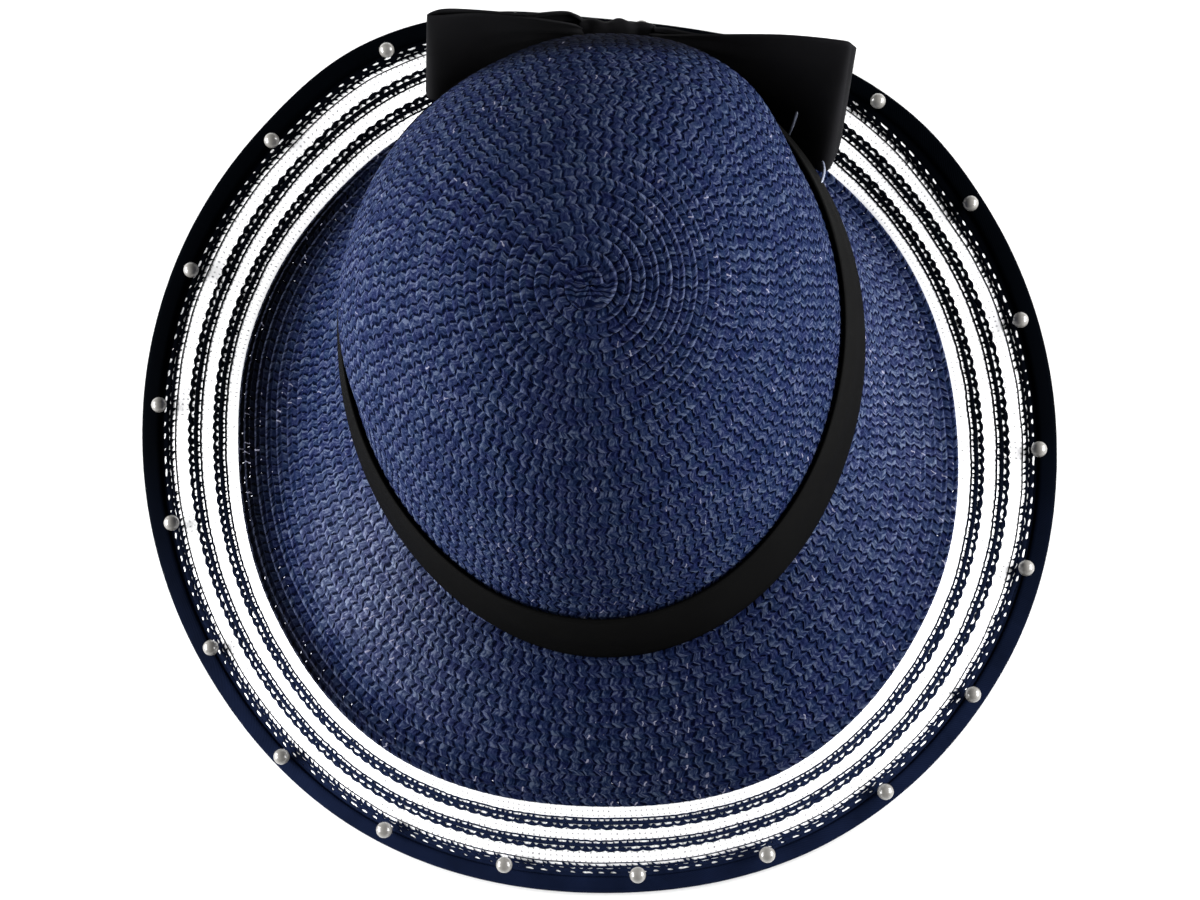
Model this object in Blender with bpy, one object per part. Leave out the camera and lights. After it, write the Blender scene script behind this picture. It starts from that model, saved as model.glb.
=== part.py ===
"""Wide-brim straw sun hat with an openwork edge, pearls, a ribbon band and a bow.

Metres, +Z up, front of the hat towards -Y. The hat lies on its brim: the origin is on the
resting surface, under the middle of the brim's outline.
"""
import math
from collections import namedtuple

import bpy
import numpy as np

# Crown
CROWN_HALF_WIDTH = 0.0872
CROWN_HALF_LENGTH = 0.1054
CROWN_HEIGHT = 0.0998
CROWN_CENTRE = (0.0067, 0.0183)
CROWN_TURN = math.radians(5.5)
CROWN_EGG = 0.04
CROWN_TAPER = 0.15
CROWN_LEAN = (-0.002, -0.002)
SHOULDER_POWER = 2.25
TIP_POWER = 2.2
STRAW_THICKNESS = 0.002

# The soft crown sags out over the band: its greatest reach, the share of the height over which
# it comes out and the level where it draws in again
CROWN_SAG = 0.008
SAG_RISE = 0.17
SAG_TOP = 0.55

# Brim
BASE_HEIGHT = 0.0452
RIM_RADIUS = 0.160
MESH_THICKNESS = 0.001
MESH_BAND_WIDTH = 0.004
LACE_WIDTH = 0.0051
EDGE_LACE_WIDTH = 0.0058
LACE_THICKNESS = 0.001
BINDING_WIDTH = 0.007
BINDING_THICKNESS = 0.001
FOOT_WIDTH = 0.001

# Pearls, spread evenly round the edge and then shifted by shares of their spacing; each lies
# a share of PEARL_INSET in from the outline
PEARL_DIAMETER = 0.0058
PEARL_INSET = 0.0082
FIRST_PEARL = math.radians(119.6)
PEARL_SHIFTS = (-0.15, -0.06, 0.11, 0.21, 0.18, 0.24, 0.25, 0.21, 0.14, 0.11, 0.03,
                -0.04, -0.12, -0.12, -0.21, -0.18, -0.17, -0.08, -0.10, -0.12, -0.13)
PEARL_INSETS = (1.06, 1.02, 1.02, 0.98, 1.26, 1.08, 0.86, 1.07, 1.32, 1.21, 1.05,
                0.91, 0.87, 0.97, 0.97, 0.91, 0.74, 0.72, 0.85, 0.95, 1.00)

# Ribbon band and bow
BAND_HEIGHT = 0.0254
BAND_THICKNESS = 0.001
RIBBON_WIDTH = 0.042
RIBBON_THICKNESS = 0.0012
BOW_SIDE = -0.0038
BOW_TURN = math.radians(-5.5)
LEFT_REACH = 0.065
RIGHT_REACH = 0.082
KNOT_LENGTH = 0.019
KNOT_DEPTH = 0.0075
KNOT_HEIGHT = 0.018
KNOT_WALL = 0.0012
KNOT_WAIST = 0.92
KNOT_FILL = 0.6
ROOT_START = 0.06

# Clearance between touching pieces
GAP = 0.0003

# Divisions of the meshes
TURN_STEPS = 54
CROWN_STEPS = 8
STRAW_STEPS = 6
NOSE_STEPS = 4
BAND_STEPS = 2
PEARL_SIDES = 10
PEARL_RINGS = 5
RIBBON_STEPS = 3
RIBBON_ACROSS = 3
KNOT_SIDES = 16
KNOT_STATIONS = 5
SEAT_STEPS = 121

# The brim all round, one row for each azimuth (degrees, 0 to the right, 90 to the back).
# rim is the outline's share of RIM_RADIUS and openwork the openwork's share of its width;
# start and fall are the slopes, in degrees, where the straw leaves the crown and on the
# openwork.
Brim = namedtuple("Brim", "azimuth rim openwork start fall")
BRIM = (
    Brim(0, 0.989, 1.00, 74, 16),
    Brim(30, 0.991, 1.00, 82, 8),
    Brim(45, 1.002, 1.03, 84, 5),
    Brim(60, 0.993, 1.00, 86, 12),
    Brim(75, 0.964, 1.00, 86, 24),
    Brim(90, 0.973, 1.00, 86, 27),
    Brim(105, 1.030, 1.05, 84, 14),
    Brim(120, 1.065, 1.12, 80, 4),
    Brim(135, 1.048, 1.09, 76, 3),
    Brim(150, 1.029, 1.04, 74, 3),
    Brim(165, 1.007, 1.01, 70, 6),
    Brim(180, 0.987, 1.03, 60, 13),
    Brim(210, 0.969, 0.975, 30, 28),
    Brim(240, 0.983, 0.965, 8, 42),
    Brim(270, 0.989, 0.96, 2, 44),
    Brim(300, 1.018, 0.95, 3, 46),
    Brim(330, 1.012, 0.965, 34, 30),
)

# The crown's sag all round its oval: shares of CROWN_SAG at turns in degrees
Sag = namedtuple("Sag", "azimuth share")
SAG = (
    Sag(0, 0.00), Sag(30, 0.60), Sag(45, 1.20), Sag(60, 1.20), Sag(75, 0.85), Sag(90, 0.60),
    Sag(105, 0.30), Sag(120, 0.24), Sag(150, 0.45), Sag(180, 0.70), Sag(205, 0.20),
    Sag(225, 0.00), Sag(240, 0.00), Sag(300, 0.00),
)

# The two bow loops. Each row is one crosswise line of the ribbon, from the knot's mouth along
# the back layer, round the end and home along the front layer. along is a share of the way
# from the mouth to the loop's reach and the other lengths are shares of RIBBON_WIDTH: out is
# the distance behind the knot's middle and up the height over its foot, each for the lower
# and the upper edge.
Fold = namedtuple("Fold", "along_low along_high out_low out_high up_low up_high")
LEFT_LOOP = (
    Fold(0.12, 0.10, 0.080, 0.000, 0.05, 0.64),
    Fold(0.39, 0.34, 0.000, -0.120, 0.00, 0.84),
    Fold(0.74, 0.65, -0.190, -0.130, 0.00, 0.88),
    Fold(0.96, 0.84, -0.360, -0.130, 0.00, 0.86),
    Fold(1.00, 0.91, -0.500, -0.215, 0.00, 0.80),
    Fold(0.92, 0.84, -0.560, -0.250, 0.00, 0.78),
    Fold(0.65, 0.58, -0.330, -0.190, 0.00, 0.80),
    Fold(0.32, 0.30, -0.130, -0.170, 0.01, 0.74),
    Fold(0.10, 0.08, -0.050, -0.080, 0.05, 0.56),
)
RIGHT_LOOP = (
    Fold(0.12, 0.12, 0.060, -0.060, 0.05, 0.52),
    Fold(0.37, 0.34, -0.060, -0.160, 0.00, 0.66),
    Fold(0.68, 0.66, -0.250, -0.150, -0.01, 0.68),
    Fold(0.91, 0.93, -0.440, -0.180, -0.02, 0.62),
    Fold(0.945, 1.00, -0.580, -0.220, -0.02, 0.66),
    Fold(0.895, 0.99, -0.800, -0.240, -0.01, 0.80),
    Fold(0.83, 0.96, -0.900, -0.260, 0.00, 0.84),
    Fold(0.61, 0.68, -0.540, -0.250, 0.00, 0.84),
    Fold(0.34, 0.38, -0.210, -0.230, 0.01, 0.76),
    Fold(0.12, 0.12, -0.060, -0.120, 0.05, 0.56),
)

# What follows from the sizes above
OPENWORK_WIDTH = 3 * MESH_BAND_WIDTH + 2 * LACE_WIDTH + EDGE_LACE_WIDTH + BINDING_WIDTH
SLOT_HALF = MESH_THICKNESS / 2 + GAP
BINDING_HALF = SLOT_HALF + BINDING_THICKNESS
PEARL_RADIUS = PEARL_DIAMETER / 2


# Forms

def around(rows, column, azimuth):
    """Value of one column at an azimuth in radians: a smooth closed curve through the rows."""
    knots = np.radians([row.azimuth for row in rows])
    values = np.array([getattr(row, column) for row in rows], float)
    knots = np.concatenate([knots[-2:] - 2 * math.pi, knots, knots[:3] + 2 * math.pi])
    values = np.concatenate([values[-2:], values, values[:3]])
    slopes = np.gradient(values, knots)
    turn = azimuth % (2 * math.pi)
    cell = int(np.searchsorted(knots, turn, side="right")) - 1
    width = knots[cell + 1] - knots[cell]
    t = (turn - knots[cell]) / width
    return (values[cell] * (1 + 2 * t) * (1 - t) ** 2
            + slopes[cell] * width * t * (1 - t) ** 2
            + values[cell + 1] * t * t * (3 - 2 * t)
            - slopes[cell + 1] * width * t * t * (1 - t))


def ease(share):
    """Smooth step from 0 to 1."""
    share = min(max(share, 0.0), 1.0)
    return share * share * (3 - 2 * share)


def sag(turn, level):
    """How far the crown hangs out at a turn round its oval and a share of its height."""
    rise = ease((level - BAND_HEIGHT / CROWN_HEIGHT) / SAG_RISE)
    return CROWN_SAG * around(SAG, "share", turn) * rise * (1 - ease((level - SAG_TOP) / (1 - SAG_TOP)))


def crown_share(level):
    """Width of the crown at a share of its height, as a share of its width at the brim."""
    return (1 - CROWN_TAPER * level) * (1 - level ** SHOULDER_POWER) ** (1 / TIP_POWER)


def crown_point(turn, level, grow=0.0):
    """Point on the crown's outside, at a turn round its oval, moved out by grow."""
    share = crown_share(level)
    out = grow + sag(turn, level)
    x = (CROWN_HALF_WIDTH + out) * share * math.cos(turn) * (1 + CROWN_EGG * math.sin(turn))
    y = (CROWN_HALF_LENGTH + out) * share * math.sin(turn)
    return np.array([
        CROWN_CENTRE[0] + CROWN_LEAN[0] * level
        + x * math.cos(CROWN_TURN) - y * math.sin(CROWN_TURN),
        CROWN_CENTRE[1] + CROWN_LEAN[1] * level
        + x * math.sin(CROWN_TURN) + y * math.cos(CROWN_TURN),
        BASE_HEIGHT + level * (CROWN_HEIGHT + grow)])


def rim_frame(azimuth):
    """Centre of the binding's nose and the openwork's fall there, in the upright plane."""
    radius = RIM_RADIUS * around(BRIM, "rim", azimuth)
    fall = math.radians(around(BRIM, "fall", azimuth))
    nose = np.array([radius - BINDING_HALF, BINDING_HALF])
    outward = np.array([math.cos(fall), -math.sin(fall)])
    upward = np.array([math.sin(fall), math.cos(fall)])
    return nose, outward, upward


def openwork_stretch(azimuth):
    """How much wider than its nominal width the openwork is at an azimuth."""
    return around(BRIM, "openwork", azimuth)


def openwork_points(azimuth, from_edge, offset):
    """Radius and height at a distance in from the outline and a height over the mesh."""
    nose, outward, upward = rim_frame(azimuth)
    stretched = from_edge * openwork_stretch(azimuth)
    return nose - (stretched - BINDING_HALF) * outward + offset * upward


def break_point(turn):
    """Azimuth and radius where the crown's outside meets the brim."""
    point = crown_point(turn, 0.0)
    return math.atan2(point[1], point[0]), math.hypot(point[0], point[1])


def straw_line(turn):
    """Middle line of the straw brim in its upright plane, from under the crown to the mesh.

    It runs level under the crown's wall, then follows a cubic curve that leaves at the
    start slope and arrives at the slope of the openwork.
    """
    azimuth, radius = break_point(turn)
    level = BASE_HEIGHT - GAP - STRAW_THICKNESS / 2
    root = np.array([radius, level])
    width = OPENWORK_WIDTH + GAP
    end = openwork_points(azimuth, width, 0.0)
    chord = np.linalg.norm(end - root)
    start = math.radians(around(BRIM, "start", azimuth))
    leaving = chord * np.array([math.cos(start), -math.sin(start)])
    arriving = chord * rim_frame(azimuth)[1]
    line = [np.array([radius - STRAW_THICKNESS, level])]
    for step in range(STRAW_STEPS + 1):
        t = step / STRAW_STEPS
        line.append(root * (1 + 2 * t) * (1 - t) ** 2 + leaving * t * (1 - t) ** 2
                    + end * t * t * (3 - 2 * t) - arriving * t * t * (1 - t))
    return azimuth, np.array(line)


def thicken(line, thickness):
    """Closed outline round an open line, half the thickness to either side."""
    along = np.gradient(line, axis=0)
    along /= np.linalg.norm(along, axis=1)[:, None]
    normal = np.stack([-along[:, 1], along[:, 0]], axis=1) * thickness / 2
    return np.concatenate([line + normal, (line - normal)[::-1]])


def to_space(azimuth, outline):
    """Turn (radius, height) pairs in the upright plane at an azimuth into points."""
    return [(r * math.cos(azimuth), r * math.sin(azimuth), z) for r, z in outline]


# Mesh builders

def add_object(name, vertices, faces, material, smooth_angle=35):
    mesh = bpy.data.meshes.new(name)
    mesh.from_pydata([tuple(map(float, v)) for v in vertices], [], faces)
    mesh.validate()
    mesh.shade_smooth()
    mesh.set_sharp_from_angle(angle=math.radians(smooth_angle))
    mesh.materials.append(material)
    obj = bpy.data.objects.new(name, mesh)
    bpy.context.scene.collection.objects.link(obj)
    return obj


def triangles(a, b, c, d):
    """A quad as two triangles, so that a twisted quad has one clear shape."""
    return [(a, b, c), (a, c, d)]


def ring(name, sections, material):
    """Closed ring through equal closed outlines, each clockwise seen with out to the right."""
    count, size = len(sections), len(sections[0])
    vertices = [point for section in sections for point in section]
    faces = []
    for i in range(count):
        here, there = i * size, (i + 1) % count * size
        for k in range(size):
            n = (k + 1) % size
            faces += triangles(here + k, here + n, there + n, there + k)
    return add_object(name, vertices, faces, material)


def turns():
    return [2 * math.pi * i / TURN_STEPS for i in range(TURN_STEPS)]


def azimuths():
    return [break_point(turn)[0] for turn in turns()]


def finish(name, colour, roughness, metallic=0.0):
    """Principled material in linear colour."""
    material = bpy.data.materials.new(name)
    material.use_nodes = True
    shader = material.node_tree.nodes["Principled BSDF"]
    shader.inputs["Base Color"].default_value = (*colour, 1.0)
    shader.inputs["Roughness"].default_value = roughness
    shader.inputs["Metallic"].default_value = metallic
    return material


# Pieces

def crown_levels():
    """Levels of the crown's rows: two below the band's top, then closer towards the tip."""
    top = BAND_HEIGHT / CROWN_HEIGHT
    first = math.asin(top ** (SHOULDER_POWER / 2))
    rows = [first + (math.pi / 2 - first) * i / CROWN_STEPS for i in range(CROWN_STEPS)]
    return [0.0, top / 2] + [math.sin(row) ** (2 / SHOULDER_POWER) for row in rows]


def build_crown():
    """Dome of straw: outer and inner skins, joined by a flat ring over the brim."""
    levels = crown_levels()
    vertices, skins = [], []
    for grow in (0.0, -STRAW_THICKNESS):
        skins.append(len(vertices))
        for level in levels:
            vertices += [crown_point(turn, level, grow) for turn in turns()]
        vertices.append(crown_point(0.0, 1.0, grow))
    outer, inner = skins
    tip = len(levels) * TURN_STEPS
    faces = []
    for i in range(TURN_STEPS):
        n = (i + 1) % TURN_STEPS
        for row in range(len(levels) - 1):
            low, high = row * TURN_STEPS, (row + 1) * TURN_STEPS
            faces += triangles(outer + low + i, outer + low + n, outer + high + n, outer + high + i)
            faces += triangles(inner + low + n, inner + low + i, inner + high + i, inner + high + n)
        top = (len(levels) - 1) * TURN_STEPS
        faces.append((outer + top + i, outer + top + n, outer + tip))
        faces.append((inner + top + n, inner + top + i, inner + tip))
        faces += triangles(outer + i, inner + i, inner + n, outer + n)
    return add_object("crown", vertices, faces, finish("crown_straw", (0.022, 0.037, 0.11), 0.55))


def build_brim():
    sections = []
    for turn in turns():
        azimuth, line = straw_line(turn)
        sections.append(to_space(azimuth, thicken(line, STRAW_THICKNESS)))
    return ring("brim", sections, finish("brim_straw", (0.022, 0.037, 0.11), 0.55))


def openwork_ring(name, outer_edge, inner_edge, low, high, material):
    """Flat ring on the openwork between two distances from the outline and two offsets."""
    sections = []
    for azimuth in azimuths():
        outline = [openwork_points(azimuth, inner_edge, high),
                   openwork_points(azimuth, outer_edge, high),
                   openwork_points(azimuth, outer_edge, low),
                   openwork_points(azimuth, inner_edge, low)]
        sections.append(to_space(azimuth, outline))
    return ring(name, sections, material)


def lace_strips():
    """Each lace strip's inner and outer edge, as distances in from the outline."""
    first = OPENWORK_WIDTH - MESH_BAND_WIDTH
    second = first - LACE_WIDTH - MESH_BAND_WIDTH
    return {"lace_inner": (first, first - LACE_WIDTH),
            "lace_outer": (second, second - LACE_WIDTH),
            "lace_edge": (BINDING_WIDTH + EDGE_LACE_WIDTH, BINDING_WIDTH + GAP)}


def build_openwork():
    """White mesh ring, and three lace strips that lie on it."""
    half = MESH_THICKNESS / 2
    strips = lace_strips()
    stops = [OPENWORK_WIDTH] + [stop for edges in strips.values() for stop in edges]
    sections = []
    for azimuth in azimuths():
        nose, outward, upward = rim_frame(azimuth)
        line = np.array([openwork_points(azimuth, stop, 0.0) for stop in stops] + [nose])
        outline = np.concatenate([line + half * upward, (line - half * upward)[::-1]])
        sections.append(to_space(azimuth, outline))
    ring("mesh_inset", sections, finish("white_mesh", (0.9, 0.9, 0.9), 0.6))
    low, high = SLOT_HALF, SLOT_HALF + LACE_THICKNESS
    for name, (inner_edge, outer_edge) in strips.items():
        material = finish(name + "_cotton", (0.012, 0.017, 0.045), 0.7)
        openwork_ring(name, outer_edge, inner_edge, low, high, material)


def binding_outline(azimuth):
    """Folded tape round the mesh's edge, with a narrow level foot under its nose."""
    nose, outward, upward = rim_frame(azimuth)
    inner = openwork_points(azimuth, BINDING_WIDTH, 0.0)
    slot_end = nose + GAP * outward
    top = math.atan2(upward[1], upward[0])
    outline = [inner + BINDING_HALF * upward]
    for step in range(NOSE_STEPS + 1):
        angle = top + (-math.pi / 2 - top) * step / NOSE_STEPS
        outline.append(nose + BINDING_HALF * np.array([math.cos(angle), math.sin(angle)]))
    outline.append(nose + np.array([-FOOT_WIDTH, -BINDING_HALF]))
    outline += [inner - BINDING_HALF * upward, inner - SLOT_HALF * upward,
                slot_end - SLOT_HALF * upward, slot_end + SLOT_HALF * upward,
                inner + SLOT_HALF * upward]
    return outline


def build_binding():
    sections = [to_space(azimuth, binding_outline(azimuth)) for azimuth in azimuths()]
    ring("edge_binding", sections, finish("navy_binding", (0.006, 0.009, 0.025), 0.75))


def pearl_mesh(name):
    """Round bead with its poles up and down."""
    vertices = [(0, 0, PEARL_RADIUS)]
    for row in range(1, PEARL_RINGS):
        polar = math.pi * row / PEARL_RINGS
        for k in range(PEARL_SIDES):
            turn = 2 * math.pi * k / PEARL_SIDES
            vertices.append((PEARL_RADIUS * math.sin(polar) * math.cos(turn),
                             PEARL_RADIUS * math.sin(polar) * math.sin(turn),
                             PEARL_RADIUS * math.cos(polar)))
    vertices.append((0, 0, -PEARL_RADIUS))
    last = len(vertices) - 1
    faces = []
    for k in range(PEARL_SIDES):
        n = (k + 1) % PEARL_SIDES
        faces.append((0, 1 + k, 1 + n))
        bottom = 1 + (PEARL_RINGS - 2) * PEARL_SIDES
        faces.append((bottom + n, bottom + k, last))
        for row in range(PEARL_RINGS - 2):
            high, low = 1 + row * PEARL_SIDES, 1 + (row + 1) * PEARL_SIDES
            faces.append((high + k, low + k, low + n, high + n))
    mesh = bpy.data.meshes.new(name)
    mesh.from_pydata(vertices, [], faces)
    mesh.shade_smooth()
    return mesh


def build_pearls():
    mesh = pearl_mesh("pearl")
    mesh.materials.append(finish("pearl_nacre", (0.62, 0.60, 0.57), 0.25))
    spacing = 2 * math.pi / len(PEARL_SHIFTS)
    seat = max(BINDING_HALF, SLOT_HALF + LACE_THICKNESS)
    for number, (shift, share) in enumerate(zip(PEARL_SHIFTS, PEARL_INSETS)):
        azimuth = FIRST_PEARL + spacing * (number + shift)
        nose, outward, upward = rim_frame(azimuth)
        centre = (nose - (share * PEARL_INSET - BINDING_HALF) * outward
                  + (seat + GAP + PEARL_RADIUS) * upward)
        pearl = bpy.data.objects.new("pearl_%02d" % (number + 1), mesh)
        pearl.location = to_space(azimuth, [centre])[0]
        bpy.context.scene.collection.objects.link(pearl)


def build_band():
    """Ribbon round the foot of the crown, following its wall."""
    sections = []
    outside, inside = GAP + BAND_THICKNESS, GAP
    for turn in turns():
        outline = []
        for grow, order in ((outside, 1), (inside, -1)):
            rows = []
            for step in range(BAND_STEPS + 1):
                height = BAND_HEIGHT * (1 - step / BAND_STEPS)
                rows.append(crown_point(turn, height / (CROWN_HEIGHT + grow), grow))
            outline += rows[::order]
        sections.append(outline)
    ring("hat_band", sections, finish("black_ribbon", (0.006, 0.006, 0.007), 0.7))


def knot_centre():
    """Middle of the knot, which rests on the band at the back of the crown."""
    foot = BASE_HEIGHT + GAP
    middle = foot + KNOT_HEIGHT / 2
    across = np.array([math.cos(BOW_TURN), math.sin(BOW_TURN)])
    out = np.array([-across[1], across[0]])
    start = np.array(CROWN_CENTRE) + BOW_SIDE * across
    reach = -1.0
    for turn in np.linspace(math.radians(60), math.radians(120), SEAT_STEPS):
        for share in np.linspace(0.0, 1.0, KNOT_STATIONS):
            height = share * BAND_HEIGHT
            band = crown_point(turn, height / CROWN_HEIGHT, GAP + BAND_THICKNESS)
            side = float(np.dot(band[:2] - start, across))
            rise = (band[2] - middle) / (KNOT_HEIGHT / 2)
            if abs(side) > KNOT_LENGTH / 2 or abs(rise) >= 1:
                continue
            depth = KNOT_DEPTH / 2 * math.sqrt(1 - rise * rise)
            reach = max(reach, float(np.dot(band[:2] - start, out)) + depth)
    place = start + out * (reach + GAP)
    return np.array([place[0], place[1], middle]), across, out


def build_knot():
    """Short sleeve of ribbon, an oval tube with a waist, lying along the bow."""
    centre, across, out = knot_centre()
    sections = []
    stations = np.linspace(-1.0, 1.0, KNOT_STATIONS)
    narrowing = [KNOT_WAIST + (1 - KNOT_WAIST) * station ** 2 for station in stations]
    for k in range(KNOT_SIDES):
        turn = -2 * math.pi * k / KNOT_SIDES
        outline = []
        for wall, order in ((0.0, 1), (KNOT_WALL, -1)):
            rows = []
            for station, share in zip(stations, narrowing):
                depth = (KNOT_DEPTH / 2 * share - wall) * math.cos(turn)
                rise = (KNOT_HEIGHT / 2 * share - wall) * math.sin(turn)
                flat = centre[:2] + across * station * KNOT_LENGTH / 2 + out * depth
                rows.append((flat[0], flat[1], centre[2] + rise))
            outline += rows[::order]
        sections.append(outline)
    ring("bow_knot", sections, finish("knot_ribbon", (0.006, 0.006, 0.007), 0.7))


def smooth_rows(rows, steps):
    """Points on a smooth curve through the rows, with a few steps in each span."""
    rows = np.array(rows, float)
    slopes = np.gradient(rows, axis=0)
    result = []
    for i in range(len(rows) - 1):
        for step in range(steps):
            t = step / steps
            result.append(rows[i] * (1 + 2 * t) * (1 - t) ** 2 + slopes[i] * t * (1 - t) ** 2
                          + rows[i + 1] * t * t * (3 - 2 * t) - slopes[i + 1] * t * t * (1 - t))
    result.append(rows[-1])
    return np.array(result)


def root_rows(side):
    """Two crosswise lines of a layer inside the knot: deep in it and at its mouth.

    side is 1 for the back layer and -1 for the front one. The ribbon is gathered to the
    middle of the sleeve's height and lies against its oval wall there.
    """
    depth = KNOT_DEPTH / 2 * KNOT_WAIST - KNOT_WALL
    height = KNOT_HEIGHT / 2 * KNOT_WAIST - KNOT_WALL
    half = KNOT_FILL * height
    seat = depth * math.sqrt(1 - (half / height) ** 2) - RIBBON_THICKNESS / 2 - GAP
    middle = KNOT_HEIGHT / 2
    return [(along, along, side * seat, side * seat, middle - half, middle + half)
            for along in (ROOT_START * KNOT_LENGTH, 0.5 * KNOT_LENGTH)]


def clear_of_band(point):
    """The point, moved straight away from the crown's axis if the ribbon there met the band."""
    level = min(max((point[2] - BASE_HEIGHT) / CROWN_HEIGHT, 0.0), 1.0)
    share = crown_share(level)
    if share <= 0.0:
        return point
    axis = np.array(CROWN_CENTRE) + level * np.array(CROWN_LEAN)
    along = np.array([math.cos(CROWN_TURN), math.sin(CROWN_TURN)])
    offset = point[:2] - axis
    x, y = float(np.dot(offset, along)), float(along[0] * offset[1] - along[1] * offset[0])
    grow = (2 * GAP + BAND_THICKNESS + RIBBON_THICKNESS / 2
            + sag(math.atan2(y / CROWN_HALF_LENGTH, x / CROWN_HALF_WIDTH), level))
    s = min(max(y / ((CROWN_HALF_LENGTH + grow) * share), -1.0), 1.0)
    r = math.hypot(x / ((CROWN_HALF_WIDTH + grow) * share * (1 + CROWN_EGG * s)), s)
    if r >= 1.0:
        return point
    return np.array([*(axis + offset / r), point[2]])


def loop_rows(folds, reach):
    """Crosswise lines of a loop in metres: roots, folds and roots again."""
    mouth = KNOT_LENGTH / 2
    rows = root_rows(1)
    for fold in folds:
        rows.append((mouth + fold.along_low * (reach - mouth),
                     mouth + fold.along_high * (reach - mouth),
                     fold.out_low * RIBBON_WIDTH, fold.out_high * RIBBON_WIDTH,
                     fold.up_low * RIBBON_WIDTH, fold.up_high * RIBBON_WIDTH))
    return rows + root_rows(-1)[::-1]


def build_loop(name, folds, reach, side):
    """One bow loop: a strip of ribbon through its folds, with a real thickness."""
    centre, across, out = knot_centre()
    foot = centre[2] - KNOT_HEIGHT / 2
    grid = []
    for row in smooth_rows(loop_rows(folds, reach), RIBBON_STEPS):
        edges = []
        for along, away, up in (row[0::2], row[1::2]):
            flat = centre[:2] + across * side * along + out * away
            edges.append(np.array([flat[0], flat[1], foot + up]))
        grid.append([clear_of_band(edges[0] + (edges[1] - edges[0]) * k / RIBBON_ACROSS)
                     for k in range(RIBBON_ACROSS + 1)])
    grid = np.array(grid)
    normal = np.cross(np.gradient(grid, axis=0), np.gradient(grid, axis=1))
    normal /= np.linalg.norm(normal, axis=2)[:, :, None]
    rows, columns = grid.shape[:2]
    vertices = np.concatenate([(grid + normal * RIBBON_THICKNESS / 2).reshape(-1, 3),
                               (grid - normal * RIBBON_THICKNESS / 2).reshape(-1, 3)])
    back = rows * columns
    faces = []
    for i in range(rows - 1):
        for k in range(columns - 1):
            a, b = i * columns + k, (i + 1) * columns + k
            faces += triangles(a, b, b + 1, a + 1)
            faces += triangles(back + a + 1, back + b + 1, back + b, back + a)
    border = [(i, 0) for i in range(rows)] + [(rows - 1, k) for k in range(1, columns)]
    border += [(i, columns - 1) for i in range(rows - 2, -1, -1)]
    border += [(0, k) for k in range(columns - 2, 0, -1)]
    edge = [i * columns + k for i, k in border]
    for here, there in zip(edge, edge[1:] + edge[:1]):
        faces += triangles(there, here, back + here, back + there)
    return add_object(name, vertices, faces, finish(name + "_ribbon", (0.006, 0.006, 0.007), 0.7))


def main():
    for obj in list(bpy.data.objects):
        bpy.data.objects.remove(obj, do_unlink=True)
    build_crown()
    build_brim()
    build_openwork()
    build_binding()
    build_pearls()
    build_band()
    build_knot()
    build_loop("bow_loop_left", LEFT_LOOP, LEFT_REACH, -1)
    build_loop("bow_loop_right", RIGHT_LOOP, RIGHT_REACH, 1)


main()
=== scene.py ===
"""Studio scene of a navy wide-brim straw sun hat with an openwork edge, pearls, a band and a bow.

Metres, +Z up, front of the hat towards -Y, the hat lying on its brim. Azimuths start at +X, the
right side in the picture, and run towards the back. UV maps named cloth are in millimetres.
"""
import math

import bpy
import numpy as np
from mathutils import Matrix, Vector


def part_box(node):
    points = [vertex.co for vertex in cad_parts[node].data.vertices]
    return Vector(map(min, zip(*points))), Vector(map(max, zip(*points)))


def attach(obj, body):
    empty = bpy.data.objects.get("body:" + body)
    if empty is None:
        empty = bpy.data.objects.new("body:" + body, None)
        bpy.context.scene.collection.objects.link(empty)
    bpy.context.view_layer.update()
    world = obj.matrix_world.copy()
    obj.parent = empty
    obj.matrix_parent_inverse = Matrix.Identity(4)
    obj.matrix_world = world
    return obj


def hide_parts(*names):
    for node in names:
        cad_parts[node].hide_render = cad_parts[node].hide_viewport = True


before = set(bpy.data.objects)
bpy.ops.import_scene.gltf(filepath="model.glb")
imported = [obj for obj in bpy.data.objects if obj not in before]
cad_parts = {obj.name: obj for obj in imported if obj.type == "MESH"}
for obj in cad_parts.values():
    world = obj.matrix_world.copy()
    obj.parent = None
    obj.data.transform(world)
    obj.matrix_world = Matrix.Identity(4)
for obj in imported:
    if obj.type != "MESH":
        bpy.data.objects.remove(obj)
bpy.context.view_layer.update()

TAU = 2 * math.pi
MILLIMETRES = 1000

# Sizes of the straw form, as the solids have them
CROWN_HALF_WIDTH = 0.0872
CROWN_HALF_LENGTH = 0.1054
CROWN_HEIGHT = 0.0998
CROWN_CENTRE = (0.0067, 0.0183)
CROWN_TURN = math.radians(5.5)
CROWN_EGG = 0.04
CROWN_TAPER = 0.15
CROWN_LEAN = (-0.002, -0.002)
SHOULDER_POWER = 2.25
TIP_POWER = 2.2
CROWN_SAG = 0.008
SAG_RISE = 0.17
SAG_TOP = 0.55
BASE_HEIGHT = 0.0452
RIM_RADIUS = 0.160
OPENWORK_WIDTH = 0.035
BINDING_WIDTH = 0.007
BINDING_HALF = 0.0018
BAND_HEIGHT = 0.0254
BAND_LENGTH = 0.61
RIBBON_WIDTH = 0.042
LEFT_REACH = 0.065
RIGHT_REACH = 0.082
KNOT_LENGTH = 0.019
KNOT_SPREAD = 0.0255
KNOT_DEPTH = 0.0075
KNOT_HEIGHT = 0.018
KNOT_GIRTH = 0.052
BOW_TURN = math.radians(-5.5)
HALF_WALL = 0.001
GAP = 0.0003

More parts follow.
